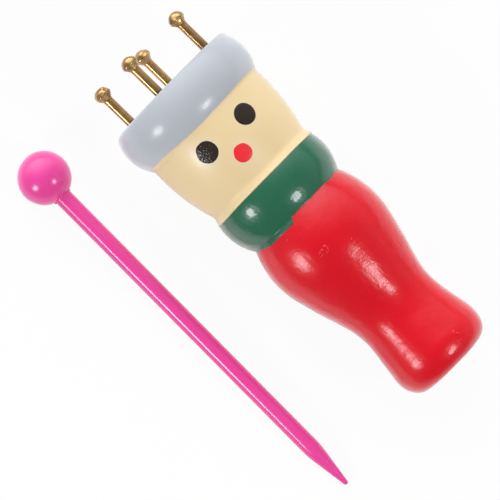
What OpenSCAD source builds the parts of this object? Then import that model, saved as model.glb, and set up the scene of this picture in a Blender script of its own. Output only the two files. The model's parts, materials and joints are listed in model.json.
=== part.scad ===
// Knitting nancy: a turned and painted wooden doll with four brass pegs, and its needle.
// Both lie on a table as they are laid out for sale. Sides are named as seen facing the doll.
// Millimetres, +Z up, the doll's hat towards +Y and its face up.

/* [Foot and waist] */
// Diameter at the widest point of the foot
foot_d = 26.8; // [24.5:0.1:29]
// Height of that point above the base
foot_rise = 6.3; // [5.5:0.1:8]
// Radius of the foot's outline at that point
foot_curve = 10; // [8:0.5:14]
// Radius that rounds the edge of the base
base_round = 4.8; // [2:0.2:5.4]
// Diameter at the waist
waist_d = 23.4; // [20:0.1:24.4]
// Height of the waist above the widest point of the foot
waist_rise = 13; // [10:0.5:18]
// Radius of the hollow at the waist
waist_curve = 22; // [14:1:30]

/* [Robe and scarf] */
// Diameter at the widest point of the robe
robe_d = 34.1; // [31:0.1:37]
// Height of that point above the waist
robe_rise = 25.4; // [20:0.2:32]
// Radius of the robe's swell
robe_curve = 24; // [20:1:32]
// How much slimmer the scarf is than the robe, across the widest points
scarf_step = 0.2; // [-1:0.1:2]
// Height of that point above the widest point of the robe
scarf_rise = 18.2; // [16:0.2:21]
// Radius of the scarf's bead
scarf_curve = 14; // [12:0.5:18]
// Height of the scarf's painted edge above the widest point of the scarf
scarf_edge = 3.4; // [2:0.1:4.5]

/* [Face and hat] */
// Diameter at the widest point of the face
face_d = 36.4; // [35:0.1:39]
// Height of that point above the widest point of the scarf
face_rise = 21.1; // [18:0.2:24]
// Radius of the face's long curve
face_curve = 52; // [42:1:64]
// Diameter of the hat
hat_d = 40.7; // [39:0.1:44]
// Height of the hat's widest point above that of the face
hat_rise = 10; // [9:0.2:12]
// Radius of the hat's bead
hat_curve = 11; // [9:0.5:13]
// Height of the hat's flat top above the widest point of the hat
top_rise = 6; // [4.5:0.1:7]
// Radius that rounds the edge of the top
top_round = 1.4; // [0.6:0.1:2]

/* [Eyes and nose] */
// Diameter of an eye
eye_d = 5.4; // [3.5:0.1:6]
// Angle between the two eyes, round the face
eye_spread = 43.4; // [34:0.2:56]
// Distance of the eyes' centres below the hat's widest point
eye_drop = 12.7; // [10.5:0.1:15]
// Diameter of the nose
nose_d = 4.9; // [3:0.1:5.5]
// Distance of the nose's centre below the eyes' centres
nose_drop = 6.4; // [5.5:0.1:8]
// Bearing of the nose from the middle of the face
nose_bearing = -2; // [-6:0.5:6]

/* [Bore and paint] */
// Diameter of the bore that the knitted cord runs down
bore_d = 10; // [8:0.2:12]
// Width of the chamfer at each mouth of the bore
bore_chamfer = 0.8; // [0.3:0.1:1.2]
// Thickness of the paint on the body
paint = 0.2; // [0.1:0.05:0.4]
// Thickness of the dots of paint on the face
dot_paint = 0.12; // [0.06:0.02:0.3]

/* [Pegs] */
// Bearing of each peg round the hat from the middle of the face: front, right, rear, left
peg_bearings = [-18, 78.5, 173, 264]; // [-30:0.5:290]
// Radius of the circle of pegs
peg_circle = 13.3; // [11.5:0.1:14.5]
// Diameter of a peg's shank
peg_d = 2.5; // [1.8:0.1:3]
// Diameter of a peg's round head
peg_head_d = 4.5; // [3.6:0.1:5.4]
// Length of shank that stands out of the hat
peg_reach = 8.6; // [6:0.2:12]
// Height of the cone under a peg's head
peg_cone = 1.4; // [0.8:0.1:2]
// Depth of a peg in the wood
peg_depth = 11; // [8:0.5:14]
// Length of a peg's point
peg_point = 2.6; // [1.6:0.1:4]
// Clearance round a peg in its hole
peg_fit = 0.02; // [0.01:0.01:0.05]

/* [Needle] */
// Distance from the needle's tip to the centre of its ball
needle_l = 109.8; // [90:0.2:130]
// Diameter of the shaft
shaft_d = 4.7; // [4:0.1:6]
// Length of the taper at the tip
taper_l = 12; // [8:0.2:18]
// Diameter of the rounded tip
tip_d = 1.3; // [0.8:0.1:2]
// Diameter of the ball
ball_d = 14; // [11:0.1:16]
// Depth of the hole in the ball
socket_l = 7; // [5:0.2:9]
// Clearance round the shaft in the ball
socket_fit = 0.02; // [0.01:0.01:0.05]

/* [Layout] */
// Distance between the doll's axis and the centre of the needle's ball
needle_gap = 39; // [32:0.2:60]
// How far the needle's tip lies beyond the doll's base
needle_lead = 2.2; // [1:0.1:4]
// Angle between the needle and the doll, as seen from above
needle_skew = 1; // [0:0.1:3]
// How far the doll has rolled from lying face up
doll_roll = 4.5; // [0:0.5:8]

/* [Hidden] */
$fn = 160;

// Stations up the doll's axis: the radius and height at each crest and hollow of the turning
foot = [foot_d / 2, foot_rise];
waist = [waist_d / 2, foot.y + waist_rise];
robe = [robe_d / 2, waist.y + robe_rise];
scarf = [(robe_d - scarf_step) / 2, robe.y + scarf_rise];
face = [face_d / 2, scarf.y + face_rise];
hat = [hat_d / 2, face.y + hat_rise];
body_h = hat.y + top_rise;

// Half the section is always inside this reach
over = 1;
reach = max(foot.x, robe.x, scarf.x, face.x, hat.x) + over;

// Arcs and flanks that touch overlap by this hair, so that they join
lap = 0.002;

// Centre of the arc whose crest is at a station, and the outer point where two such arcs cross
function arc_centre(crest, arc) = [crest.x - arc, crest.y];
function crossing(crest_a, arc_a, crest_b, arc_b) =
    let (
        a = arc_centre(crest_a, arc_a),
        b = arc_centre(crest_b, arc_b),
        span = norm(b - a),
        way = (b - a) / span,
        along = (arc_a * arc_a - arc_b * arc_b + span * span) / (2 * span),
        out = sqrt(arc_a * arc_a - along * along)
    )
    [a.x + along * way.x + out * way.y, a.y + along * way.y - out * way.x];

// Where a crest and the waist are too close for both their radii, the two draw in together
function room(crest, arc) =
    let (drop = crest.x - waist.x, rise = crest.y - waist.y)
    min(1, (drop * drop + rise * rise) / (2 * drop * (arc + waist_curve)));
foot_arc = foot_curve * room(foot, foot_curve);
robe_arc = robe_curve * room(robe, robe_curve);
waist_arc = waist_curve * min(room(foot, foot_curve), room(robe, robe_curve));
waist_c = [waist.x + waist_arc, waist.y];

// The way that a flank faces: it touches the crest's arc and the arc of the waist
function flank_out(crest, arc) =
    let (
        span = waist_c - arc_centre(crest, arc),
        lean = atan2(abs(span.y), span.x) - acos(min(1, (arc + waist_arc) / norm(span)))
    )
    [cos(lean), sign(span.y) * sin(lean)];

// Centre of the arc that rounds an end's edge, and the height where it leaves the crest's arc
function edge_centre(crest, arc, end_y, edge) =
    let (y = end_y - sign(end_y - crest.y) * edge)
    [crest.x - arc + sqrt(max(0, pow(arc - edge, 2) - pow(y - crest.y, 2))), y];
function edge_turn(crest, arc, end_y, edge, skin) =
    let (
        centre = edge_centre(crest, arc, end_y, edge),
        span = centre - arc_centre(crest, arc)
    )
    centre.y + (edge - skin) * span.y / norm(span);

// Paint lines: the two grooves, and the edge on the slope of the scarf
groove_y = crossing(robe, robe_arc, scarf, scarf_curve).y;
scarf_top_y = scarf.y + scarf_edge;
brim_y = crossing(face, face_curve, hat, hat_curve).y;

eye_y = hat.y - eye_drop;
nose_y = eye_y - nose_drop;
bore_r = bore_d / 2;
peg_r = peg_d / 2;
peg_head_r = peg_head_d / 2;
shaft_r = shaft_d / 2;
ball_r = ball_d / 2;
tip_r = tip_d / 2;

// The doll lies on its hat and on the first bead that touches the table as its base end comes down.
// The common tangent of the two arcs gives the tilt for that bead.
function rest_tilt(crest, arc) =
    let (span = arc_centre(hat, hat_curve) - arc_centre(crest, arc))
    acos((arc - hat_curve) / norm(span)) - atan2(span.y, span.x);
doll_tilt = min(
    rest_tilt(foot, foot_arc), rest_tilt(robe, robe_arc),
    rest_tilt(scarf, scarf_curve), rest_tilt(face, face_curve)
);
doll_z = (hat.x - hat_curve) * cos(doll_tilt) - hat.y * sin(doll_tilt) + hat_curve;

// The needle lies on its ball and on the shoulder where its taper starts
shoulder_span = [needle_l - taper_l, shaft_r];
needle_tilt = asin(ball_r / norm(shoulder_span)) - atan2(shoulder_span.y, shoulder_span.x);

// The pair is centred on the origin: the needle sets the length, ball and hat the width
needle_run = (needle_l - tip_r) * cos(needle_tilt) * cos(needle_skew) + tip_r;
half_l = (needle_run + ball_r) / 2;
half_w = (hat.x + needle_gap + ball_r) / 2;
doll_place = [half_w - hat.x, needle_lead - half_l, doll_z];
ball_place = [ball_r - half_w, half_l - ball_r, ball_r];

hat_grey = [0.68, 0.71, 0.76];
face_cream = [0.93, 0.85, 0.66];
scarf_green = [0.13, 0.40, 0.29];
robe_red = [0.83, 0.10, 0.13];
eye_black = [0.12, 0.10, 0.11];
nose_red = [0.90, 0.16, 0.20];
bare_wood = [0.86, 0.72, 0.52];
brass = [0.80, 0.62, 0.32];
needle_pink = [0.93, 0.22, 0.57];

// A level strip of the half section
module strip(low, high) {
    translate([0, low])
        square([reach, high - low]);
}

// A strip bounded by the arc of a crest. skin is the depth below the finished surface.
module swell(crest, arc, low, high, skin) {
    intersection() {
        strip(low, high);
        translate(arc_centre(crest, arc))
            circle(arc - skin);
    }
}

// The flat end beyond a crest, its edge rounded by an arc that touches the end and the crest's arc
module end_round(crest, arc, end_y, edge, skin) {
    up = sign(end_y - crest.y);
    edge_c = edge_centre(crest, arc, end_y, edge);
    flat_y = end_y - up * skin;
    intersection() {
        strip(min(flat_y, crest.y), max(flat_y, crest.y));
        union() {
            translate([0, min(flat_y, crest.y)])
                square([edge_c.x, abs(crest.y - flat_y)]);
            translate(edge_c)
                circle(edge - skin + lap);
        }
    }
}

// Straight flanks from the foot and from the robe to the hollow of the waist
module flanks(skin) {
    foot_out = flank_out(foot, foot_arc);
    robe_out = flank_out(robe, robe_arc);
    difference() {
        polygon([
            [0, foot.y],
            arc_centre(foot, foot_arc) + (foot_arc - skin - lap) * foot_out,
            waist_c - (waist_arc + skin - lap) * foot_out,
            waist_c - (waist_arc + skin - lap) * robe_out,
            arc_centre(robe, robe_arc) + (robe_arc - skin - lap) * robe_out,
            [0, robe.y]
        ]);
        translate(waist_c)
            circle(waist_arc + skin);
    }
}

// Half the turned section, skin below the finished surface
module section(skin) {
    foot_turn = edge_turn(foot, foot_arc, 0, base_round, skin);
    hat_turn = edge_turn(hat, hat_curve, body_h, top_round, skin);
    end_round(foot, foot_arc, 0, base_round, skin);
    swell(foot, foot_arc, foot_turn, waist.y, skin);
    flanks(skin);
    swell(robe, robe_arc, waist.y, scarf.y, skin);
    swell(scarf, scarf_curve, robe.y, face.y, skin);
    swell(face, face_curve, scarf.y, hat.y, skin);
    swell(hat, hat_curve, face.y, hat_turn, skin);
    end_round(hat, hat_curve, body_h, top_round, skin);
}

// Half section of the bore, chamfered in the wood at both mouths
module bore_section() {
    mouth = bore_r + bore_chamfer;
    step = paint + bore_chamfer;
    polygon([
        [0, -over], [mouth, -over], [mouth, paint], [bore_r, step],
        [bore_r, body_h - step], [mouth, body_h - paint], [mouth, body_h + over], [0, body_h + over]
    ]);
}

// Brings a doll that stands on the origin, facing -Y, to where it lies
module lay_doll() {
    translate(doll_place)
        rotate([doll_tilt - 90, 0, 0])
            rotate([0, 0, doll_roll])
                children();
}

// Brings a needle that stands on its tip to where it lies
module lay_needle() {
    translate(ball_place)
        rotate([0, 0, -needle_skew])
            rotate([needle_tilt - 90, 0, 0])
                translate([0, 0, -needle_l])
                    children();
}

module peg_place(bearing) {
    rotate([0, 0, bearing])
        translate([0, -peg_circle, body_h])
            children();
}

module peg_holes() {
    for (bearing = peg_bearings)
        peg_place(bearing)
            translate([0, 0, -peg_depth - peg_fit])
                cylinder(h = peg_depth + peg_fit + over, r = peg_r + peg_fit);
}

module turned_body() {
    color(bare_wood)
        lay_doll()
            difference() {
                rotate_extrude()
                    difference() {
                        section(paint);
                        bore_section();
                    }
                peg_holes();
            }
}

// One band of paint between two heights
module paint_band(low, high) {
    rotate_extrude()
        intersection() {
            difference() {
                section(0);
                section(paint);
                bore_section();
            }
            strip(low, high);
        }
}

module hat_paint() {
    color(hat_grey)
        lay_doll()
            difference() {
                paint_band(brim_y, body_h);
                peg_holes();
            }
}

module face_paint() {
    color(face_cream)
        lay_doll()
            paint_band(scarf_top_y, brim_y);
}

module scarf_paint() {
    color(scarf_green)
        lay_doll()
            paint_band(groove_y, scarf_top_y);
}

module robe_paint() {
    color(robe_red)
        lay_doll()
            paint_band(0, groove_y);
}

// A round dot of paint that follows the curve of the face
module face_dot(bearing, height, dot_d) {
    intersection() {
        rotate_extrude()
            difference() {
                swell(face, face_curve, height - dot_d, height + dot_d, -dot_paint);
                swell(face, face_curve, height - dot_d - over, height + dot_d + over, 0);
            }
        rotate([0, 0, bearing])
            translate([0, 0, height])
                rotate([90, 0, 0])
                    cylinder(h = reach, d = dot_d);
    }
}

module eye(side) {
    color(eye_black)
        lay_doll()
            face_dot(side * eye_spread / 2, eye_y, eye_d);
}

module nose() {
    color(nose_red)
        lay_doll()
            face_dot(nose_bearing, nose_y, nose_d);
}

// A round-head nail: point, shank, cone and dome
module peg(bearing) {
    widest = peg_reach + peg_cone;
    color(brass)
        lay_doll()
            peg_place(bearing)
                rotate_extrude() {
                    polygon([
                        [0, -peg_depth], [peg_r, peg_point - peg_depth], [peg_r, peg_reach],
                        [peg_head_r, widest], [0, widest]
                    ]);
                    translate([0, widest])
                        intersection() {
                            circle(peg_head_r);
                            square(peg_head_r);
                        }
                }
}

module needle_shaft() {
    color(needle_pink)
        lay_needle()
            rotate_extrude() {
                polygon([
                    [0, tip_r], [tip_r, tip_r], [shaft_r, taper_l],
                    [shaft_r, needle_l - ball_r + socket_l], [0, needle_l - ball_r + socket_l]
                ]);
                translate([0, tip_r])
                    intersection() {
                        circle(tip_r);
                        translate([0, -tip_r])
                            square(tip_r);
                    }
            }
}

module needle_ball() {
    color(needle_pink)
        lay_needle()
            difference() {
                translate([0, 0, needle_l])
                    sphere(ball_r);
                translate([0, 0, needle_l - ball_r - over])
                    cylinder(h = socket_l + over + socket_fit, r = shaft_r + socket_fit);
            }
}

turned_body();
hat_paint();
face_paint();
scarf_paint();
robe_paint();
eye(-1);  // left_eye
eye(1);  // right_eye
nose();
peg(peg_bearings[0]);  // front_peg
peg(peg_bearings[1]);  // right_peg
peg(peg_bearings[2]);  // rear_peg
peg(peg_bearings[3]);  // left_peg
needle_shaft();
needle_ball();
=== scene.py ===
# %% [markdown]
# # A knitting nancy, dressed for its picture
# A knitting nancy is a turned wooden doll with a bore down its middle and four brass nails round its hat.
# Yarn is looped over the nails with a needle, and a knitted cord grows out of the base.
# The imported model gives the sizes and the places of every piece. This lesson gives each piece its finish:
# brushed enamel, dots of thick paint, driven nails and a dipped needle.

# %% Load the frame
import json
import math

import bpy
import numpy as np
from mathutils import Matrix, Vector


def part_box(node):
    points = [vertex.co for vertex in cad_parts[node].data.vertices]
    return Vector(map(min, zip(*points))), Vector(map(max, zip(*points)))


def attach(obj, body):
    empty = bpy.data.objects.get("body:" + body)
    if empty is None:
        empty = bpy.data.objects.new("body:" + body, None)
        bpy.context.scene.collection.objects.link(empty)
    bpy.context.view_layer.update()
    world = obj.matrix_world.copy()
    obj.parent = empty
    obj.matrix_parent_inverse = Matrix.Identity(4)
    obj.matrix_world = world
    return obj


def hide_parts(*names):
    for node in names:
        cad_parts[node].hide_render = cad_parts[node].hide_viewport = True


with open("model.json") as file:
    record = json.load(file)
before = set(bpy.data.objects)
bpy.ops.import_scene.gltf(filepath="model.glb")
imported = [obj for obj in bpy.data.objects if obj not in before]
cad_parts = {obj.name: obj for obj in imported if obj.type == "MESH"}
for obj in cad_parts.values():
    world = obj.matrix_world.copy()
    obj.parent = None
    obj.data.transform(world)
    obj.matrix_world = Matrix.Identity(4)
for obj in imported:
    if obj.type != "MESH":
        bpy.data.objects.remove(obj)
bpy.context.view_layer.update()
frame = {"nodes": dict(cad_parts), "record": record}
MM = 0.001
print("pieces in the frame:", sorted(frame["nodes"]))

# %% [markdown]
# ## Where the doll and the needle lie
# Everything round is easiest to make about its own axis, in millimetres, and to lay down afterwards.
# The doll's axis comes from the bore's mount, and the middle of its face from the two eyes.
# The needle's axis runs from the far tip of its shaft to the middle of its ball.
# Taking them from the frame means that nothing here has to be moved when the model changes.

# %% The doll's own directions
bore = next(m for m in frame["record"]["mounts"] if m["name"] == "yarn_bore")
doll_up = -np.array(bore["axis"])
BODY_H = 100.0
doll_base = np.array(bore["pos_m"]) / MM - doll_up * BODY_H / 2


def middle(node):
    """The middle of a node's box, in millimetres."""
    low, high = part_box(node)
    return (np.array(low) + np.array(high)) / 2 / MM


def points_of(mesh):
    """The points of a mesh, in millimetres."""
    numbers = np.empty(len(mesh.vertices) * 3, np.float32)
    mesh.vertices.foreach_get("co", numbers)
    return numbers.reshape(-1, 3) / MM


face_way = (middle("left_eye") + middle("right_eye")) / 2 - doll_base
face_way -= (face_way @ doll_up) * doll_up
doll_front = face_way / np.linalg.norm(face_way)
doll_right = np.cross(doll_up, doll_front)


def on_doll(bearing, radius, height):
    """A point at a bearing from the middle of the face, in radians, a distance from the axis and a height:
    base + height * up + radius * (sin * right + cos * front)."""
    out = np.sin(bearing)[..., None] * doll_right + np.cos(bearing)[..., None] * doll_front
    return doll_base + height[..., None] * doll_up + radius[..., None] * out


print("the doll leans", round(math.degrees(math.asin(doll_up[2])), 2), "degrees off the table")

# %% The needle's own directions
ball_mid = middle("needle_ball")
ball_low, ball_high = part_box("needle_ball")
BALL_R = (ball_high.z - ball_low.z) / 2 / MM
shaft_points = points_of(frame["nodes"]["needle_shaft"].data)
needle_tip = shaft_points[np.argmax(np.linalg.norm(shaft_points - ball_mid, axis=1))]
NEEDLE_L = np.linalg.norm(ball_mid - needle_tip)
needle_up = (ball_mid - needle_tip) / NEEDLE_L
needle_side = np.cross(needle_up, (0, 0, 1))
needle_side /= np.linalg.norm(needle_side)
needle_front = np.cross(needle_side, needle_up)


def on_needle(bearing, radius, height):
    """A point at a bearing from the needle's top line, a distance from its axis and a height over its tip."""
    out = np.sin(bearing)[..., None] * needle_side + np.cos(bearing)[..., None] * needle_front
    return needle_tip + height[..., None] * needle_up + radius[..., None] * out


print("the needle is", round(NEEDLE_L, 1), "mm from its tip to the middle of its ball")

# %% [markdown]
# ## The camera
# The picture is taken from almost straight above with a long lens, so the doll shows little perspective.
# Its hat points to the upper left, because the camera is turned about its own line of sight.
# Aim, lean and turn are named, and the matrix is put together from them.

# %% Camera
CAMERA_AIM = np.array((-2.565, 0.615, 14.0))
CAMERA_FAR = 869.0
LEAN_RIGHT = 0.0092
LEAN_UP = -0.0509
CAMERA_TURN = math.radians(-45.74)
IMAGE_SIDE = 500
FOCAL_PIXELS = 3440.0
SENSOR_WIDTH = 36.0
CLIP_START = 0.05
CLIP_END = 20.0

look = np.array((LEAN_RIGHT, LEAN_UP, math.sqrt(1 - LEAN_RIGHT ** 2 - LEAN_UP ** 2)))
image_right = np.array((math.cos(CAMERA_TURN), math.sin(CAMERA_TURN), 0.0))
image_right -= (image_right @ look) * look
image_right /= np.linalg.norm(image_right)
image_up = np.cross(look, image_right)

camera_data = bpy.data.cameras.new("camera")
camera_data.sensor_width = SENSOR_WIDTH
camera_data.lens = SENSOR_WIDTH * FOCAL_PIXELS / IMAGE_SIDE
camera_data.clip_start = CLIP_START
camera_data.clip_end = CLIP_END
camera = bpy.data.objects.new("camera", camera_data)
bpy.context.scene.collection.objects.link(camera)
camera_place = (CAMERA_AIM + CAMERA_FAR * look) * MM
camera.matrix_world = Matrix([
    (image_right[k], image_up[k], look[k], camera_place[k]) for k in range(3)
] + [(0, 0, 0, 1)])
bpy.context.scene.camera = camera
bpy.context.scene.view_settings.view_transform = "Standard"
print("lens", round(camera_data.lens, 1), "mm")

# %% [markdown]
# ## Nodes in one line each
# A material is a graph of nodes. A helper that makes a node, sets its values and links its inputs keeps
# each finish short enough to read as a recipe. The kinds that come back again and again have names of
# their own: noise, a ramp from one range to another, a sum, a blend of two colours and a bumpy normal.

# %% Node helper
def node(tree, kind, links=None, **values):
    """Adds a node of a kind. links maps inputs to output sockets or constants, values sets its properties."""
    made = tree.nodes.new(kind)
    for name, value in values.items():
        setattr(made, name, value)
    for name, source in (links or {}).items():
        target = made.inputs[name]
        if isinstance(source, bpy.types.NodeSocket):
            tree.links.new(source, target)
        else:
            target.default_value = source
    return made


def empty_material(name):
    """A new material and its graph, still without nodes."""
    made = bpy.data.materials.new(name)
    made.use_nodes = True
    made.node_tree.nodes.clear()
    print("material", name)
    return made, made.node_tree


def show(tree, shader):
    """Makes a shader the surface of its material."""
    node(tree, "ShaderNodeOutputMaterial", {"Surface": shader.outputs[0]})


# %% Places and noise
def own_place(tree, stretch=None):
    """Places on the piece itself, scaled along each axis if asked, which draws noise out into streaks."""
    place = node(tree, "ShaderNodeTexCoord").outputs["Object"]
    if stretch is None:
        return place
    return node(tree, "ShaderNodeMapping", {"Vector": place, "Scale": stretch}).outputs[0]


def noise(tree, place, scale, detail, roughness=0.5):
    """Cloudy noise from 0 to 1."""
    return node(tree, "ShaderNodeTexNoise", {
        "Vector": place, "Scale": scale, "Detail": detail, "Roughness": roughness}).outputs["Fac"]


# %% Numbers
def ramp(tree, value, start, end, low, high, kind="LINEAR"):
    """Carries a value from the range start to end over to the range low to high."""
    return node(tree, "ShaderNodeMapRange", {
        "Value": value, "From Min": start, "From Max": end, "To Min": low, "To Max": high},
        interpolation_type=kind).outputs[0]


def maths(tree, operation, *numbers, **values):
    """One sum of two or three numbers."""
    return node(tree, "ShaderNodeMath", dict(enumerate(numbers)), operation=operation, **values).outputs[0]


# %% Colours and bumps
def blend(tree, share, first, second):
    """A colour between two others."""
    return node(tree, "ShaderNodeMix", {
        "Factor": share, "A": first, "B": second}, data_type="RGBA").outputs["Result"]


def bumpy(tree, height, depth, under=None):
    """A normal that follows a height field of a depth in millimetres, over another normal if there is one."""
    links = {"Height": height, "Strength": 1.0, "Distance": depth * MM}
    if under is not None:
        links["Normal"] = under
    return node(tree, "ShaderNodeBump", links).outputs[0]


# %% [markdown]
# ## Floor, room and lamps
# The table is a white sheet. Seen directly it is paper white all over, and it still darkens under the
# doll, because part of its white is lit by the lamps. In a reflection it is white near the doll and fades
# away from it, as a sheet that ends beyond the picture would, so the flanks of the robe keep their depth.
# The room is pale at the horizon and dim overhead. Two round lamps give each bead its pair of highlights,
# and a wide window glows softly low beyond the hat.

# %% Floor
HALF_FLOOR = 20.0
floor_mesh = bpy.data.meshes.new("floor")
floor_corners = [(x * HALF_FLOOR, y * HALF_FLOOR, 0) for x, y in ((-1, -1), (1, -1), (1, 1), (-1, 1))]
floor_mesh.from_pydata(floor_corners, [], [(0, 1, 2, 3)])
floor = bpy.data.objects.new("floor", floor_mesh)
bpy.context.scene.collection.objects.link(floor)
print("the floor is", 2 * HALF_FLOOR, "m wide")

# %% White of the floor
FLOOR_GLOW = 0.93
SHEET_WHITE = (0.9, 0.9, 0.9, 1)
SHEET_NEAR = 0.08
SHEET_END = 0.25
floor_paint, tree = empty_material("floor_white")
path = node(tree, "ShaderNodeLightPath").outputs
seen = maths(tree, "ADD", path["Is Camera Ray"], path["Is Glossy Ray"])
seen_all = maths(tree, "ADD", seen, path["Is Transmission Ray"], use_clamp=True)
share = maths(tree, "MULTIPLY", seen_all, FLOOR_GLOW)
away = node(tree, "ShaderNodeVectorMath", {0: own_place(tree)}, operation="LENGTH").outputs["Value"]
fade = ramp(tree, away, SHEET_NEAR, SHEET_END, 0.0, -1.0, "SMOOTHSTEP")
level = maths(tree, "MULTIPLY_ADD", fade, path["Is Glossy Ray"], 1.0)
lit = node(tree, "ShaderNodeBsdfDiffuse", {"Color": SHEET_WHITE})
glow = node(tree, "ShaderNodeEmission", {"Color": (1, 1, 1, 1), "Strength": level})
show(tree, node(tree, "ShaderNodeMixShader", {0: share, 1: lit.outputs[0], 2: glow.outputs[0]}))
floor_mesh.materials.append(floor_paint)
print("in a reflection the floor is white for", SHEET_NEAR, "m and gone at", SHEET_END, "m")

# %% Window
WINDOW_GLOW = 3.2
WINDOW_SPREAD = 4.0
WINDOW_TURN = math.radians(65)
WINDOW_RISE = math.radians(20)
window_level = math.cos(WINDOW_RISE)
window_way = Vector((
    window_level * math.cos(WINDOW_TURN), window_level * math.sin(WINDOW_TURN), math.sin(WINDOW_RISE)))
print("the window glows from", window_way)

# %% Room
DAYLIGHT = (0.96, 0.98, 1, 1)
HORIZON_TOP = 0.8
SIDE_REACH = 0.8
HORIZON_NEAR = 0.0
HORIZON_FAR = 0.53
OVERHEAD = 0.14
world = bpy.data.worlds.new("room")
bpy.context.scene.world = world
world.use_nodes = True
tree = world.node_tree
tree.nodes.clear()
where = node(tree, "ShaderNodeTexCoord").outputs["Generated"]


def toward(way):
    """How far each direction of the room points along another: their dot product."""
    product = node(tree, "ShaderNodeVectorMath", {0: where, 1: tuple(way)}, operation="DOT_PRODUCT")
    return product.outputs["Value"]


low = ramp(tree, toward((0, 0, 1)), 0.0, HORIZON_TOP, 1.0, 0.0, "SMOOTHSTEP")
side = ramp(tree, toward(image_up), -SIDE_REACH, SIDE_REACH, HORIZON_NEAR, HORIZON_FAR)
walls = maths(tree, "MULTIPLY_ADD", low, side, OVERHEAD)
window = maths(tree, "POWER", maths(tree, "MAXIMUM", toward(window_way), 0.0), WINDOW_SPREAD)
strength = maths(tree, "MULTIPLY_ADD", window, WINDOW_GLOW, walls)
back = node(tree, "ShaderNodeBackground", {"Color": DAYLIGHT, "Strength": strength})
node(tree, "ShaderNodeOutputWorld", {"Surface": back.outputs[0]})
print("the room's light comes from", len(tree.nodes), "nodes")

# %% Lamps
COOL_WHITE = (0.97, 0.985, 1.0)
LAMP_SIZE = 0.17
LAMP_FAR = 0.60
LAMP_AIM = Vector((0, 0, 0.015))


def lamp(name, way, watts):
    """A round lamp that stands in a direction from the doll's middle and faces it."""
    data = bpy.data.lights.new(name, "AREA")
    data.shape = "DISK"
    data.size = LAMP_SIZE
    data.energy = watts
    data.color = COOL_WHITE
    made = bpy.data.objects.new(name, data)
    bpy.context.scene.collection.objects.link(made)
    away = Vector(way).normalized()
    made.location = LAMP_AIM + away * LAMP_FAR
    made.rotation_mode = "QUATERNION"
    made.rotation_quaternion = (-away).to_track_quat("-Z", "Y")
    made.visible_camera = False
    print(name, watts, "W at", made.location)


lamp("left_lamp", (-0.85, -0.01, 0.52), 1.44)
lamp("right_lamp", (0.30, -0.69, 0.66), 1.32)

# %% [markdown]
# ## The turned outline
# The doll is one piece of lathe work: a foot, a waist, and beads for robe, scarf, face and hat.
# A spline would do, but a turner works in arcs, so the outline is a chain of arcs and straight flanks that
# touch one another. A station gives the widest or narrowest radius of a bead, its height, and the radius of
# its arc. Each stretch is sampled, and the whole is measured along its length, so that any stretch of it can
# be asked for by distance or by height.

# %% Stations of the outline
STATIONS = {
    "foot": (13.4, 6.3, 10.0), "waist": (11.7, 19.3, 22.0), "robe": (17.05, 44.7, 24.0),
    "scarf": (16.95, 62.9, 14.0), "face": (18.2, 84.0, 52.0), "hat": (20.35, 94.0, 11.0),
}
BASE_ROUND = 4.8
TOP_ROUND = 1.4
MOUTH_R = 5.8
BORE_R = bore["dims"]["r_mm"]
PAINT = 0.2
arc_r = {name: station[2] for name, station in STATIONS.items()}
arc_mid = {name: np.array((r - arc, y)) for name, (r, y, arc) in STATIONS.items()}
arc_mid["waist"] = np.array((STATIONS["waist"][0] + arc_r["waist"], STATIONS["waist"][1]))
print("arcs of the outline:", arc_r)

# %% Where the arcs meet
def crossing(low, high):
    """The outer point where the arcs of two beads cross."""
    span = arc_mid[high] - arc_mid[low]
    far = np.hypot(*span)
    way = span / far
    along = (arc_r[low] ** 2 - arc_r[high] ** 2 + far ** 2) / (2 * far)
    out = math.sqrt(arc_r[low] ** 2 - along ** 2)
    return arc_mid[low] + along * way + out * np.array((way[1], -way[0]))


def flank_angle(bead):
    """The direction in which the straight flank between a bead and the waist faces."""
    span = arc_mid["waist"] - arc_mid[bead]
    reach = math.acos((arc_r[bead] + arc_r["waist"]) / np.hypot(*span))
    return math.copysign(math.atan2(abs(span[1]), span[0]) - reach, span[1])


def edge_mid(bead, end, edge):
    """The middle of the arc that rounds the edge between a bead and a flat end."""
    height = end + math.copysign(edge, STATIONS[bead][1] - end)
    across = math.sqrt((arc_r[bead] - edge) ** 2 - (height - arc_mid[bead][1]) ** 2)
    return np.array((arc_mid[bead][0] + across, height))


def facing(mid, point):
    """The angle of a point as seen from the middle of an arc."""
    return math.atan2(point[1] - mid[1], point[0] - mid[0])


# %% The outline itself
STEP = 0.04


def arc(mid, radius, start, end):
    """Points along an arc from one angle to another."""
    turn = np.linspace(start, end, max(3, int(abs(end - start) * radius / STEP)))
    return mid + radius * np.stack([np.cos(turn), np.sin(turn)], 1)


def flat(start, end):
    """Points along a straight stretch."""
    share = np.linspace(0, 1, max(3, int(math.dist(start, end) / STEP)))[:, None]
    return np.array(start) * (1 - share) + np.array(end) * share


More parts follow.
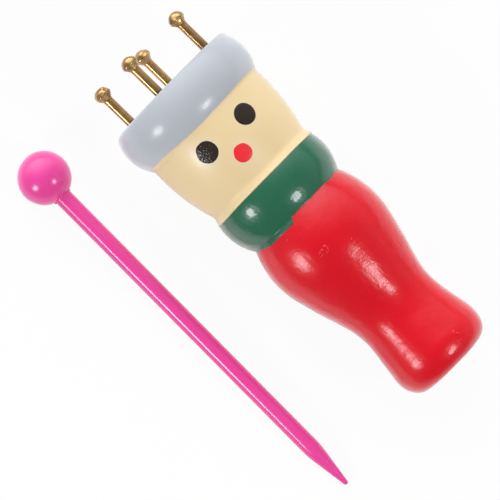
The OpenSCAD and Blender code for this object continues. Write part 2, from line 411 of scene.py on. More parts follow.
groove = crossing("robe", "scarf")
neck = crossing("scarf", "face")
brim = crossing("face", "hat")
base_mid = edge_mid("foot", 0.0, BASE_ROUND)
top_mid = edge_mid("hat", BODY_H, TOP_ROUND)
foot_turn = facing(arc_mid["foot"], base_mid)
top_turn = facing(arc_mid["hat"], top_mid)
low_flank = flank_angle("foot")
high_flank = flank_angle("robe")
turned = np.concatenate([
    flat((MOUTH_R, 0), (base_mid[0], 0)),
    arc(base_mid, BASE_ROUND, -math.pi / 2, foot_turn),
    arc(arc_mid["foot"], arc_r["foot"], foot_turn, low_flank),
    arc(arc_mid["waist"], arc_r["waist"], low_flank + math.pi, high_flank + math.pi),
    arc(arc_mid["robe"], arc_r["robe"], high_flank, facing(arc_mid["robe"], groove)),
    arc(arc_mid["scarf"], arc_r["scarf"], facing(arc_mid["scarf"], groove), facing(arc_mid["scarf"], neck)),
    arc(arc_mid["face"], arc_r["face"], facing(arc_mid["face"], neck), facing(arc_mid["face"], brim)),
    arc(arc_mid["hat"], arc_r["hat"], facing(arc_mid["hat"], brim), top_turn),
    arc(top_mid, TOP_ROUND, top_turn, math.pi / 2),
    flat((top_mid[0], BODY_H), (MOUTH_R, BODY_H)),
])
print("radius and height of groove", groove, "neck", neck, "brim", brim)

# %% Corners filled by paint
def lengths(points):
    """The distance along a line of points, from its start to each of them."""
    return np.concatenate([[0], np.cumsum(np.hypot(*np.diff(points, axis=0).T))])


CORNER_FILL = ((groove, 0.15), (neck, 0.5), (brim, 0.15))
BELL_REACH = 4
FILL_REACH = 3
rough_s = lengths(turned)
line_s = np.arange(0, rough_s[-1], STEP)
line = np.stack([np.interp(line_s, rough_s, turned[:, k]) for k in (0, 1)], 1)
for corner, width in CORNER_FILL:
    reach = np.arange(-BELL_REACH * width, BELL_REACH * width + STEP, STEP)
    bell = np.exp(-(reach / width) ** 2 / 2)
    soft = np.stack([np.convolve(line[:, k], bell / bell.sum(), "same") for k in (0, 1)], 1)
    near = np.exp(-(np.hypot(*(line - corner).T) / (FILL_REACH * width)) ** 4)[:, None]
    line = line * (1 - near) + soft * near
line_s = lengths(line)
LINE_END = line_s[-1]
slope = np.gradient(line, line_s, axis=0)
line_out = np.stack([slope[:, 1], -slope[:, 0]], 1) / np.hypot(*slope.T)[:, None]
print("outline", len(line), "points,", round(LINE_END, 1), "mm long")

# %% Places along the outline
TINY = 1e-9


def along(distance):
    """Radius, height and the two parts of the normal at a distance along the outline."""
    values = (line[:, 0], line[:, 1], line_out[:, 0], line_out[:, 1])
    return [np.interp(distance, line_s, value) for value in values]


def at_height(height):
    """The distance along the outline at which it first reaches a height."""
    rising = np.maximum.accumulate(line[:, 1])
    return np.interp(height, rising + np.arange(len(rising)) * TINY, line_s)


# %% How true the outline is to the frame
BASE_CLEAR = 8.0
GROOVE_CLEAR = 0.5
robe_points = points_of(frame["nodes"]["robe_paint"].data) - doll_base
robe_y = robe_points @ doll_up
robe_r = np.linalg.norm(robe_points - robe_y[:, None] * doll_up, axis=1)
outer_r = along(at_height(robe_y))[0]
side_rows = (robe_y > BASE_CLEAR) & (robe_y < groove[1] - GROOVE_CLEAR)
most_out = float((robe_r - outer_r)[side_rows].max())
print("robe points stand out of the outline by at most", round(most_out, 3), "mm")

# %% [markdown]
# ## From a grid of points to a piece
# Every piece below is a grid of points worked out as whole arrays. A helper turns the grid into quads,
# closes it where it meets itself, and fans triangles to a pole.
# The sign of the enclosed volume tells whether the faces point outwards, so no piece is inside out.

# %% Grids and fans
def quads(rows, columns, loop_rows=False):
    """Quads between the points of a grid whose columns close on themselves, and its rows too if asked."""
    row, column = np.meshgrid(np.arange(rows if loop_rows else rows - 1), np.arange(columns), indexing="ij")
    next_row = (row + 1) % rows
    next_column = (column + 1) % columns
    corners = [row * columns + column, row * columns + next_column,
               next_row * columns + next_column, next_row * columns + column]
    return np.stack(corners, -1).reshape(-1, 4)


def fan(pole, ring):
    """Triangles from a pole to a ring of points."""
    return np.stack([np.full(len(ring), pole), ring, np.roll(ring, -1)], -1)


# %% Mesh helper
def volume_of(points, faces, triangles):
    """The enclosed volume: a sixth of the sum of the triple products of all triangles."""
    both = np.concatenate([faces[:, [0, 1, 2]], faces[:, [0, 2, 3]], triangles])
    a, b, c = points[both[:, 0]], points[both[:, 1]], points[both[:, 2]]
    return float(np.einsum("ij,ij->i", a, np.cross(b, c)).sum() / 6)


NO_TRIANGLES = np.zeros((0, 3), int)


def piece(name, points, faces, triangles=NO_TRIANGLES, sharp=50.0):
    """A mesh object from points in millimetres, smooth but for edges sharper than an angle in degrees."""
    volume = volume_of(points - points.mean(0), faces, triangles)
    if volume < 0:
        faces = faces[:, ::-1]
        triangles = triangles[:, ::-1]
    mesh = bpy.data.meshes.new(name)
    mesh.vertices.add(len(points))
    mesh.vertices.foreach_set("co", (points * MM).astype(np.float32).ravel())
    mesh.loops.add(faces.size + triangles.size)
    corners = np.concatenate([faces.ravel(), triangles.ravel()])
    mesh.loops.foreach_set("vertex_index", corners.astype(np.int32))
    starts = np.concatenate([np.arange(len(faces)) * 4, faces.size + np.arange(len(triangles)) * 3])
    mesh.polygons.add(len(starts))
    mesh.polygons.foreach_set("loop_start", starts.astype(np.int32))
    mesh.update(calc_edges=True)
    mesh.validate()
    mesh.polygons.foreach_set("use_smooth", np.ones(len(mesh.polygons), bool))
    mesh.set_sharp_from_angle(angle=math.radians(sharp))
    made = bpy.data.objects.new(name, mesh)
    bpy.context.scene.collection.objects.link(made)
    count = 2 * len(faces) + len(triangles)
    print(name, len(points), "points,", count, "triangles,", round(abs(volume), 1), "mm3")
    return made


# %% Finish and place of a piece
def dress(made, material, body, slot, *nodes):
    """Gives a piece its finish, sets it riding on a body and lets it stand for nodes of the frame."""
    made.data.materials.append(material)
    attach(made, body)
    if nodes:
        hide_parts(*nodes)
    return made


# %% [markdown]
# ## Unevenness
# Hand work is never dead even. A sum of sine waves that run through space in random directions gives a soft
# unevenness that needs no seam and no picture. The same seed always gives the same waves, so a dot of paint
# can follow the coat under it exactly.

# %% Ripple
def ripple(points, length, seed, count=20):
    """A soft unevenness of about -1 to 1: a sum of sine waves of about one length in random directions."""
    rng = np.random.default_rng(seed)
    way = rng.normal(size=(count, 3))
    way /= np.linalg.norm(way, axis=1, keepdims=True)
    waves = way * (2 * math.pi / (length * rng.uniform(0.7, 1.5, (count, 1))))
    phase = rng.uniform(0, 2 * math.pi, count)
    return np.sin(points @ waves.T + phase).sum(-1) / math.sqrt(count)


def smooth_step(value, low, high):
    """Zero below low, one above high, and an S-shaped ramp between them."""
    share = np.clip((value - low) / (high - low), 0, 1)
    return share * share * (3 - 2 * share)


# %% [markdown]
# ## Coats of paint
# Each coat is a film with an outside, an inside and an edge, carried round the axis as a closed loop.
# Its height at each bearing is a function, so the line between robe and scarf can be as unsteady as the brush
# that drew it. The later coat ends in a low bead where the brush was lifted.

# %% Film of paint
COLUMNS = 320
CROWDING = 0.75
INNER_STEP = 6
BEAD_IN = 0.30
BEAD_WIDTH = 0.22
EDGE_WIDTH = 0.10
BEAD_ROUGHNESS = 0.5
BEAD_LUMP = 0.8
BEAD_SEED = 7


def film(name, low, high, rows, relief, low_bead=0.0):
    """A closed film between two distances along the outline, each a function of the bearing.
    Outside: the outline moved along its normal by relief plus a rough bead at its low edge, whose height may
    change with the bearing: bead * (bell past the edge - bell on the edge).
    Inside: the outline moved in by the thickness of the paint. Rows crowd together near the edges."""
    bearing = np.linspace(0, 2 * math.pi, COLUMNS, endpoint=False)
    even = np.linspace(0, 1, rows)
    share = CROWDING * (1 - np.cos(math.pi * even)) / 2 + (1 - CROWDING) * even
    start = low(bearing)
    end = high(bearing)
    distance = start + share[:, None] * (end - start)
    r, y, out_r, out_y = along(distance)
    turn = np.broadcast_to(bearing, r.shape)
    plain = on_doll(turn, r, y)
    rough = 1 + BEAD_ROUGHNESS * ripple(plain, BEAD_LUMP, BEAD_SEED)
    gap = distance - start
    crest = rough * np.exp(-((gap - BEAD_IN) / BEAD_WIDTH) ** 2)
    lift = relief(plain) + low_bead * (crest - np.exp(-(gap / EDGE_WIDTH) ** 2))
    outside = on_doll(turn, r + lift * out_r, y + lift * out_y)
    r, y, out_r, out_y = along(distance[::-INNER_STEP])
    inside = on_doll(np.broadcast_to(bearing, r.shape), r - PAINT * out_r, y - PAINT * out_y)
    points = np.concatenate([outside, inside])
    return piece(name, points.reshape(-1, 3), quads(len(points), COLUMNS, loop_rows=True))


# %% Relief of a brushed coat
def coat_relief(depth, length, seed):
    """The relief of a brushed coat: long waves, and waves a third as long and a quarter as deep."""
    def relief(points):
        return depth * ripple(points, length, seed) + depth / 4 * ripple(points, length / 3, seed + 1)
    return relief


# %% An unsteady hand
def signed(bearing):
    """A bearing as an angle from -180 to 180 degrees."""
    return np.degrees((bearing + math.pi) % (2 * math.pi) - math.pi)


def wobble(bearing, depth, seed, lowest=2, highest=14):
    """An unsteady hand round the doll: whole numbers of waves, the quick ones smaller."""
    rng = np.random.default_rng(seed)
    waves = np.arange(lowest, highest + 1)
    size = rng.normal(size=waves.size) / np.sqrt(waves)
    phase = rng.uniform(0, 2 * math.pi, waves.size)
    return depth * (size * np.sin(bearing[..., None] * waves + phase)).sum(-1)


# %% Line under the scarf
ROBE_UNDER = 0.03
TONGUE_DROP = 1.4
TONGUE_STEP = (12.9, 16.1)
TONGUE_FADE = (38, 90)


def tongue(bearing):
    """How far the tongue of green hangs down, from 0 to 1: it drops at one step and fades out slowly."""
    angle = -signed(bearing)
    return smooth_step(angle, *TONGUE_STEP) * (1 - smooth_step(angle, *TONGUE_FADE))


def robe_line(bearing):
    """The line under the scarf: just under the groove, with a tongue of green over the red."""
    height = groove[1] - ROBE_UNDER - TONGUE_DROP * tongue(bearing)
    slow = wobble(bearing, depth=0.05, seed=3)
    quick = wobble(bearing, depth=0.012, seed=4, lowest=18, highest=60)
    return at_height(height + slow + quick)


# %% Line over the scarf
SCARF_TOP = 66.5
SCARF_SAG = 0.25
SCARF_SAG_RAMP = (30, 70)


def scarf_line(bearing):
    """The line over the scarf, drawn against the turning lathe, so nearly true."""
    sag = SCARF_SAG * smooth_step(np.abs(signed(bearing)), *SCARF_SAG_RAMP)
    return at_height(SCARF_TOP - sag + wobble(bearing, depth=0.03, seed=5, highest=8))


# %% Line under the hat
BRIM_UNDER = 0.12
BRIM_RISE_LEFT = 1.0
BRIM_LEFT_RAMP = (4, 60)
BRIM_RISE_RIGHT = 0.65
BRIM_RIGHT_RAMP = (0, 50)
BRIM_BACK_RAMP = (90, 150)


def brim_line(bearing):
    """The line under the hat: it rides up the bead on both sides of the face."""
    angle = signed(bearing)
    left = BRIM_RISE_LEFT * smooth_step(-angle, *BRIM_LEFT_RAMP)
    right = BRIM_RISE_RIGHT * smooth_step(angle, *BRIM_RIGHT_RAMP)
    fades = 1 - smooth_step(np.abs(angle), *BRIM_BACK_RAMP)
    unsteady = wobble(bearing, depth=0.04, seed=6, highest=12)
    return at_height(brim[1] + (left + right - BRIM_UNDER) * fades + unsteady)


# %% Ends of the outline
def base_mouth(bearing):
    """The start of the outline, at the mouth of the bore in the base."""
    return np.zeros_like(bearing)


def top_mouth(bearing):
    """The end of the outline, at the mouth of the bore in the hat."""
    return np.full_like(bearing, LINE_END)


# %% [markdown]
# ## Enamel
# The coats are brushed oil enamel: a colour that clouds a little, a gloss that varies, a faint orange peel
# and, finer still, a speckle and brush strokes that break up the highlights. A thin bloom pales each coat
# where it turns away from the eye. All the noise is on Object coordinates, so it is fixed to the piece from
# every side.

# %% Enamel
BLOOM = 0.9
BLOOM_SPREAD = 0.3
# Painted highlight: the pale colour that the cream round the dots is blended towards, strongest beside the
# left eye, where the left lamp's highlight falls.
PAINTED_HIGHLIGHT = (0.92, 0.86, 0.76, 1)
PAINTED_HIGHLIGHT_SHARE = 0.42
HALO_GLOSS = -0.12
CLOUD_SCALE = 70.0
PATCH_SCALE = 180.0
PEEL_SCALE = 500.0
GRAIN_SCALE = 1500.0
BRUSH_SCALE = 1200.0
BRUSH_STRETCH = (1.0, 0.06, 1.0)
VARNISH_ROUGHNESS = 0.08


def enamel(name, colour, shade, gloss, peel=0.01, grain=0.0, brush=0.0, coat=0.0, index=1.42):
    """Brushed paint. gloss is the range of roughness. peel, grain and brush are depths in millimetres:
    orange peel of about 2 mm, grain of about 0.6 mm, and strokes along the axis about 0.8 mm apart.
    coat is the weight of a varnish over it. An attribute named gloss_and_painted_highlight marks where it is
    glossier, and where its colour is paled as a painted highlight."""
    paint, tree = empty_material(name)
    place = own_place(tree)
    plain = blend(tree, noise(tree, place, CLOUD_SCALE, 2.0), (*colour, 1), (*shade, 1))
    gloss_and_painted_highlight = node(tree, "ShaderNodeAttribute", attribute_name="gloss_and_painted_highlight").outputs["Fac"]
    # Painted highlight: the colour is paled wherever the attribute marks the spots round the dots.
    tint = blend(tree, maths(tree, "MULTIPLY", gloss_and_painted_highlight, PAINTED_HIGHLIGHT_SHARE), plain, PAINTED_HIGHLIGHT)
    rough = ramp(tree, noise(tree, place, PATCH_SCALE, 1.0), 0.1, 0.9, *gloss)
    wet = maths(tree, "MULTIPLY_ADD", gloss_and_painted_highlight, HALO_GLOSS, rough)
    strokes = own_place(tree, BRUSH_STRETCH)
    normal = None
    for where, scale, depth in (
            (place, PEEL_SCALE, peel), (place, GRAIN_SCALE, grain), (strokes, BRUSH_SCALE, brush)):
        if depth:
            normal = bumpy(tree, noise(tree, where, scale, 0.5), depth, normal)
    show(tree, node(tree, "ShaderNodeBsdfPrincipled", {
        "Base Color": tint, "Roughness": wet, "Normal": normal, "IOR": index,
        "Coat Weight": coat, "Coat Roughness": VARNISH_ROUGHNESS, "Coat Normal": normal,
        "Sheen Weight": BLOOM, "Sheen Roughness": BLOOM_SPREAD}))
    return paint


# %% Six enamels
hat_grey = enamel(
    "hat_grey", (0.505, 0.53, 0.575), (0.53, 0.55, 0.595), (0.20, 0.27), peel=0.012, grain=0.006)
face_cream = enamel(
    "face_cream", (0.885, 0.672, 0.364), (0.905, 0.692, 0.389), (0.40, 0.48), grain=0.008)
scarf_green = enamel(
    "scarf_green", (0.018, 0.135, 0.070), (0.024, 0.147, 0.080), (0.22, 0.30),
    peel=0.02, grain=0.03, brush=0.025, coat=0.3)
robe_red = enamel(
    "robe_red", (0.72, 0.0045, 0.014), (0.755, 0.0065, 0.018), (0.22, 0.29),
    peel=0.05, grain=0.026, brush=0.03, index=1.43)
eye_black = enamel("eye_black", (0.026, 0.016, 0.013), (0.040, 0.028, 0.023), (0.16, 0.24), grain=0.02)
nose_red = enamel("nose_red", (0.94, 0.021, 0.032), (0.96, 0.027, 0.040), (0.36, 0.44), grain=0.02)

# %% [markdown]
# ## The four coats
# The coats differ in their lines, their relief and their finish, so each is one call of the same film.
# The red sags a little on the flank over the waist, and the tongue of green ends in a thicker bead.
# Round the dots the cream is a little glossier, and its colour is paled there as a painted highlight, most of
# all on the outer side of the left eye.
# A number at every point of the face says how much.

# %% Robe and scarf
SAG = 0.15
SAG_HEIGHT = 33.0
SAG_REACH = 4.0
robe_waves = coat_relief(0.020, 7.0, 11)


def robe_relief(points):
    """The robe's coat: brushed waves, and a sag where the wet paint gathered on the flank over the waist."""
    over = (points - doll_base) @ doll_up - SAG_HEIGHT
    return robe_waves(points) + SAG * np.exp(-(over / SAG_REACH) ** 2)


robe = film("painted_robe", base_mouth, robe_line, 250, robe_relief)
dress(robe, robe_red, "doll", "robe_red", "robe_paint")
SCARF_BEAD = 0.01
TONGUE_BEAD = 0.06
round_bearing = np.linspace(0, 2 * math.pi, COLUMNS, endpoint=False)
scarf_bead = SCARF_BEAD + TONGUE_BEAD * tongue(round_bearing)
scarf_relief = coat_relief(0.016, 6.0, 21)
scarf = film("painted_scarf", robe_line, scarf_line, 110, scarf_relief, low_bead=scarf_bead)
dress(scarf, scarf_green, "doll", "scarf_green", "scarf_paint")

# %% Face and hat
FACE_BEAD = 0.10
face_relief = coat_relief(0.012, 8.0, 31)
face = film("painted_face", scarf_line, brim_line, 150, face_relief, low_bead=FACE_BEAD)
dress(face, face_cream, "doll", "face_cream", "face_paint")
hat = film("painted_hat", brim_line, top_mouth, 200, coat_relief(0.014, 8.0, 41))
dress(hat, hat_grey, "doll", "hat_grey", "hat_paint")

# %% Glossier cream and a painted highlight round the dots
DOT_R = {"left_eye": (2.86, 2.86), "right_eye": (2.93, 2.82), "nose": (2.35, 2.37)}
# Painted highlight and real gloss: how much the cream round each dot is paled and made glossier, most on the
# outer side of the left eye.
GLOSS_AND_PAINTED_HIGHLIGHT_SPOTS = {"left_eye": (1.15, 0.25), "right_eye": (0.2, 1.0), "nose": (0.3, 1.0)}
GLOSS_AND_PAINTED_HIGHLIGHT_REACH = 1.6
OUTER_SIDE = (-1.5, 3.0)


def point_value(made, name, value):
    """Writes a number at every point of a piece, for its material to read."""
    made.data.attributes.new(name, "FLOAT", "POINT").data.foreach_set("value", value.astype(np.float32))


face_points = points_of(face.data)
gloss_and_painted_highlight = np.zeros(len(face_points))
for spot, (amount, least) in GLOSS_AND_PAINTED_HIGHLIGHT_SPOTS.items():
    offset = face_points - middle(spot)
    past = np.linalg.norm(offset, axis=1) - max(DOT_R[spot])
    outer = least + (1 - least) * smooth_step(-(offset @ doll_right), *OUTER_SIDE)
    gloss_and_painted_highlight = np.maximum(gloss_and_painted_highlight, amount * outer * np.exp(-(np.maximum(past, 0) / GLOSS_AND_PAINTED_HIGHLIGHT_REACH) ** 2))
point_value(face, "gloss_and_painted_highlight", gloss_and_painted_highlight)
print("the cream is paler at", int((gloss_and_painted_highlight > 0.1).sum()), "points of the face")

# %% [markdown]
# ## Nibs in the paint
# A few specks of dust and a curled bristle dried into the red. Each is a small dome that is longer than wide,
# wrapped on the robe and turned. Its row gives height, bearing, half length, half width, rise and turn.

# %% Nibs
NIB_SUNK = 0.15
NIB_RINGS = 8
NIB_COLUMNS = 24
NIBS = (
    (44.3, -10.1, 0.60, 0.38, 0.30, -45), (43.2, -10.5, 0.80, 0.40, 0.32, 44),
    (44.1, -14.0, 0.45, 0.38, 0.28, 0), (43.9, -17.0, 0.60, 0.38, 0.28, 44),
    (43.2, -17.7, 0.50, 0.34, 0.24, 0), (40.8, 10.0, 0.50, 0.28, 0.16, 30),
    (40.0, 10.5, 0.34, 0.26, 0.14, 100), (32.4, -15.0, 0.40, 0.30, 0.16, 60),
    (51.9, -31.0, 0.40, 0.32, 0.16, 0), (6.6, 20.0, 0.40, 0.30, 0.16, 45),
    (5.5, 22.0, 0.50, 0.32, 0.18, 120), (3.8, 19.0, 0.34, 0.30, 0.14, 0),
    (24.0, 150.0, 0.45, 0.30, 0.16, 30), (48.0, 215.0, 0.50, 0.30, 0.16, 80),
)


def nibs(name):
    """All nibs as one mesh. Each is a disc of share and angle, stretched, turned and lifted by
    rise * (1 - share^2)^1.5, with a floor under the paint."""
    share = np.linspace(0, 1, NIB_RINGS + 1)[1:, None]
    angle = np.linspace(0, 2 * math.pi, NIB_COLUMNS, endpoint=False)
    part = np.concatenate([share, share[-1:]])
    ring = np.arange(NIB_COLUMNS)
    grid_size = len(part) * NIB_COLUMNS
    points = []
    faces = []
    triangles = []
    for number, (height, bearing, length, width, rise, turn) in enumerate(NIBS):
        lift = np.concatenate([rise * (1 - share ** 2) ** 1.5, np.full((1, 1), -NIB_SUNK)])
        long_way = length * part * np.cos(angle)
        wide_way = width * part * np.sin(angle)
        spin = math.radians(turn)
        across = np.concatenate([(long_way * math.cos(spin) - wide_way * math.sin(spin)).ravel(), [0, 0]])
        up = np.concatenate([(long_way * math.sin(spin) + wide_way * math.cos(spin)).ravel(), [0, 0]])
        lifts = np.concatenate([np.broadcast_to(lift, long_way.shape).ravel(), [rise, -NIB_SUNK]])
        r, y, out_r, out_y = along(at_height(height + up))
        way = math.radians(bearing) + across / r
        start = number * (grid_size + 2)
        points.append(on_doll(way, r + lifts * out_r, y + lifts * out_y))
        faces.append(quads(len(part), NIB_COLUMNS) + start)
        triangles.append(fan(grid_size, ring)[:, ::-1] + start)
        triangles.append(fan(grid_size + 1, ring + NIB_RINGS * NIB_COLUMNS) + start)
    return piece(name, np.concatenate(points), np.concatenate(faces), np.concatenate(triangles))


dress(nibs("paint_nibs"), robe_red, "doll", "robe_red")

# %% [markdown]
# ## The wood inside
# Under the paint is turned beech, and it shows in the bore and at both of its chamfered mouths.
# A drill leaves a fine spiral on the wall of such a bore, so the wall's radius rises and falls
# along a helix. The outside follows the outline one coat of paint further in.

# %% Bare beech
WOOD_DEEP = (0.56, 0.36, 0.17, 1)
WOOD_PALE = (0.78, 0.58, 0.34, 1)
WOOD_FLECK = (0.30, 0.16, 0.07, 1)
FLECK_RANGE = (0.62, 0.72)
FLECK_MOST = 0.5
WOOD_DRY = (0.55, 0.8)
WOOD_RELIEF = 0.03


def beech():
    """Bare beech: long pale streaks along the axis with short dark flecks, dry and matt."""
    wood, tree = empty_material("bare_wood")
    grain = noise(tree, own_place(tree, (1.0, 0.05, 1.0)), scale=700.0, detail=6.0, roughness=0.6)
    fleck = noise(tree, own_place(tree, (1.0, 0.22, 1.0)), scale=2400.0, detail=2.0)
    streak = blend(tree, grain, WOOD_DEEP, WOOD_PALE)
    colour = blend(tree, ramp(tree, fleck, *FLECK_RANGE, 0.0, FLECK_MOST), streak, WOOD_FLECK)
    show(tree, node(tree, "ShaderNodeBsdfPrincipled", {
        "Base Color": colour, "Roughness": ramp(tree, grain, 0.0, 1.0, *WOOD_DRY),
        "Normal": bumpy(tree, grain, WOOD_RELIEF)}))
    return wood


bare_wood = beech()

# %% Core with its bore
DRILL_PITCH = 1.6
DRILL_DEPTH = 0.05
CORE_COLUMNS = 160
CORE_ROWS = 240
WALL_ROWS = 260
core_bearing = np.linspace(0, 2 * math.pi, CORE_COLUMNS, endpoint=False)
core_r, core_y, core_out_r, core_out_y = along(np.linspace(0, LINE_END, CORE_ROWS))
outer_r = core_r - PAINT * core_out_r
outer_y = core_y - PAINT * core_out_y
chamfer = MOUTH_R - BORE_R
wall_y = np.linspace(BODY_H - PAINT - chamfer, PAINT + chamfer, WALL_ROWS)
ring_r = np.concatenate([outer_r, np.full(wall_y.size, BORE_R)])
ring_y = np.concatenate([outer_y, wall_y])
is_wall = np.concatenate([np.zeros(outer_r.size), np.ones(wall_y.size)])
thread = np.cos(2 * math.pi * ring_y[:, None] / DRILL_PITCH + core_bearing)
core_rr = ring_r[:, None] + DRILL_DEPTH * is_wall[:, None] * thread
core_turn = np.broadcast_to(core_bearing, core_rr.shape)
core_points = on_doll(core_turn, core_rr, np.broadcast_to(ring_y[:, None], core_rr.shape))
core = piece("wood_core", core_points.reshape(-1, 3), quads(len(ring_r), CORE_COLUMNS, loop_rows=True))
dress(core, bare_wood, "doll", "bare_wood", "turned_body")

# %% [markdown]
# ## Eyes and nose
# The dots are set down with the end of a dowel dipped in thick paint, so each is nearly round, stands a
# little proud, rounds off at its rim and dries with wrinkles and a slight hollow. The dot is a disc in two
# parameters, share of the radius and angle, wrapped on the face: its sideways distance becomes a bearing,
# and its height stays a height.

# %% Dots of paint
DOT_PROUD = 0.13
DOT_HOLLOW = 0.25
DOT_SUNK = 0.06
DOT_RINGS = 64
DOT_COLUMNS = 192
DOT_UNDER_STEP = 4
RIM_WAVES = np.arange(2, 7)
RIM_DEPTH = 0.008
CREASE = 0.65
FINE_CREASE = 0.32
CREASE_WAVES = 40


def dot(name, node_name, wrinkle, material, slot, seed):
    """A round dot on the face, at the place of a node: radius * (1 + a few small waves round the rim), with
    wrinkles of a depth in millimetres."""
    wide_r, high_r = DOT_R[node_name]
    offset = middle(node_name) - doll_base
    height = float(offset @ doll_up)
    bearing = math.atan2(offset @ doll_right, offset @ doll_front)
    rng = np.random.default_rng(seed)
    share = np.sin(np.linspace(0, math.pi / 2, DOT_RINGS + 1)[1:])
    angle = np.linspace(0, 2 * math.pi, DOT_COLUMNS, endpoint=False)
    size = rng.normal(size=RIM_WAVES.size) * RIM_DEPTH
    phase = rng.uniform(0, 6, RIM_WAVES.size)
    rim = 1 + (size * np.cos(angle[:, None] * RIM_WAVES + phase)).sum(-1)

    def wrapped(part, lift):
        """Points of the disc at a share of its radius, lifted off the face."""
        across = wide_r * part * rim * np.cos(angle)
        y = height + high_r * part * rim * np.sin(angle)
        r, _, out_r, out_y = along(at_height(y))
        turn = bearing + np.arcsin(across / r)
        points = on_doll(turn, r, y)
        crease = ripple(points, CREASE, seed, CREASE_WAVES)
        crease += 0.5 * ripple(points, FINE_CREASE, seed + 20, CREASE_WAVES)
        lift = lift + face_relief(points) + wrinkle * (lift > 0) * crease
        return on_doll(turn, r + lift * out_r, y + lift * out_y)

    part = share[:, None]
    top = wrapped(part, DOT_PROUD * ((1 - part ** 5) ** 0.5 - DOT_HOLLOW * (1 - part ** 2)))
    under = part[::-DOT_UNDER_STEP]
    bottom = wrapped(under, np.full_like(under, -DOT_SUNK))
    grid = np.concatenate([top, bottom])
    centre = np.zeros((1, 1))
    top_pole = wrapped(centre, DOT_PROUD * (1 - DOT_HOLLOW))[0, 0]
    bottom_pole = wrapped(centre, -DOT_SUNK)[0, 0]
    points = np.concatenate([grid.reshape(-1, 3), [top_pole, bottom_pole]])
    ring = np.arange(DOT_COLUMNS)
    count = len(grid) * DOT_COLUMNS
    triangles = np.concatenate([fan(count, ring)[:, ::-1], fan(count + 1, count - DOT_COLUMNS + ring)])
    made = piece(name, points, quads(len(grid), DOT_COLUMNS), triangles)
    return dress(made, material, "doll", slot, node_name)


# %% Three dots
dot("dabbed_left_eye", "left_eye", 0.020, eye_black, "eye_black", 51)
dot("dabbed_right_eye", "right_eye", 0.006, eye_black, "eye_black", 52)
dot("dabbed_nose", "nose", 0.004, nose_red, "nose_red", 53)

# %% [markdown]
# ## Brass nails
# The pegs are round-head brass nails. A nail is a profile turned about its own axis: point, shank, a cone
# under the head and a dome. The hammer leaves a flat and dents on each dome, a little differently on each.
# Handling polishes the shanks, and a painted brown shade darkens each nail where it goes into the hat.

# %% Brass
BRASS_DULL = (0.375, 0.21, 0.076, 1)
BRASS_BRIGHT = (0.67, 0.405, 0.155, 1)
# Painted shade: the brown that darkens each nail where it goes into the hat.
PAINTED_ENTRY_SHADE = (0.10, 0.05, 0.02, 1)
SCRATCH_DEPTH = 0.0012
BRASS_CLOUDS = (0.3, 0.7)
BRASS_GLOSS = (0.22, 0.30)


def brass():
    """Drawn brass: lengthwise scratches, cloudy tarnish, and a painted brown shade where the nail enters the
    hat.
    """
    metal, tree = empty_material("brass")
    cloud = noise(tree, own_place(tree), scale=500.0, detail=2.0)
    scratch = noise(tree, own_place(tree, (1.0, 0.05, 1.0)), scale=1800.0, detail=0.0)
    entry_shade = node(tree, "ShaderNodeAttribute", attribute_name="entry_shade").outputs["Fac"]
    colour = blend(tree, entry_shade, blend(tree, cloud, BRASS_DULL, BRASS_BRIGHT), PAINTED_ENTRY_SHADE)
    show(tree, node(tree, "ShaderNodeBsdfPrincipled", {
        "Base Color": colour, "Metallic": 0.8, "Roughness": ramp(tree, cloud, *BRASS_CLOUDS, *BRASS_GLOSS),
        "Normal": bumpy(tree, scratch, SCRATCH_DEPTH), "Coat Weight": 0.5, "Coat Roughness": 0.12}))
    return metal


brass_metal = brass()

# %% Profile of a nail
NAIL_R = 1.25
NAIL_HEAD_R = 2.25
NAIL_REACH = 8.6
NAIL_CONE = 1.4
NAIL_DEPTH = 11.0
NAIL_POINT = 2.6
NAIL_POINT_R = 0.12
NECK_L = 0.5
NECK_FLARE = 0.06
RIM_STEPS = ((0.22, 0.3), (0.03, 0.08))
RUN_ROWS = (10, 46, 4, 12, 4)
DOME_ROWS = 21


def nail_profile():
    """Radius and height over the hat, from the point to the crown: straight runs and a quarter circle."""
    widest = NAIL_REACH + NAIL_CONE
    corners = np.array([
        (NAIL_POINT_R, -NAIL_DEPTH), (NAIL_R, NAIL_POINT - NAIL_DEPTH), (NAIL_R, NAIL_REACH - NECK_L),
        (NAIL_R + NECK_FLARE, NAIL_REACH),
        *((NAIL_HEAD_R - inset, widest - down) for inset, down in RIM_STEPS)])
    runs = [np.linspace(a, b, n, endpoint=False) for a, b, n in zip(corners[:-1], corners[1:], RUN_ROWS)]
    turn = np.linspace(0, math.pi / 2, DOME_ROWS + 1)[:-1]
    dome = np.stack([NAIL_HEAD_R * np.cos(turn), widest + NAIL_HEAD_R * np.sin(turn)], 1)
    return np.concatenate([*runs, corners[-1:], dome])


# %% Marks of the hammer
NAIL_TOP = NAIL_REACH + NAIL_CONE + NAIL_HEAD_R
FLAT_LEAN = 0.16
FLAT_CUT = (0.16, 0.3)
FLAT_SHARE = 0.8
DENT_DEPTH = 0.085
DENT_SIZE = 1.5
AXIS_CLEAR = 0.3


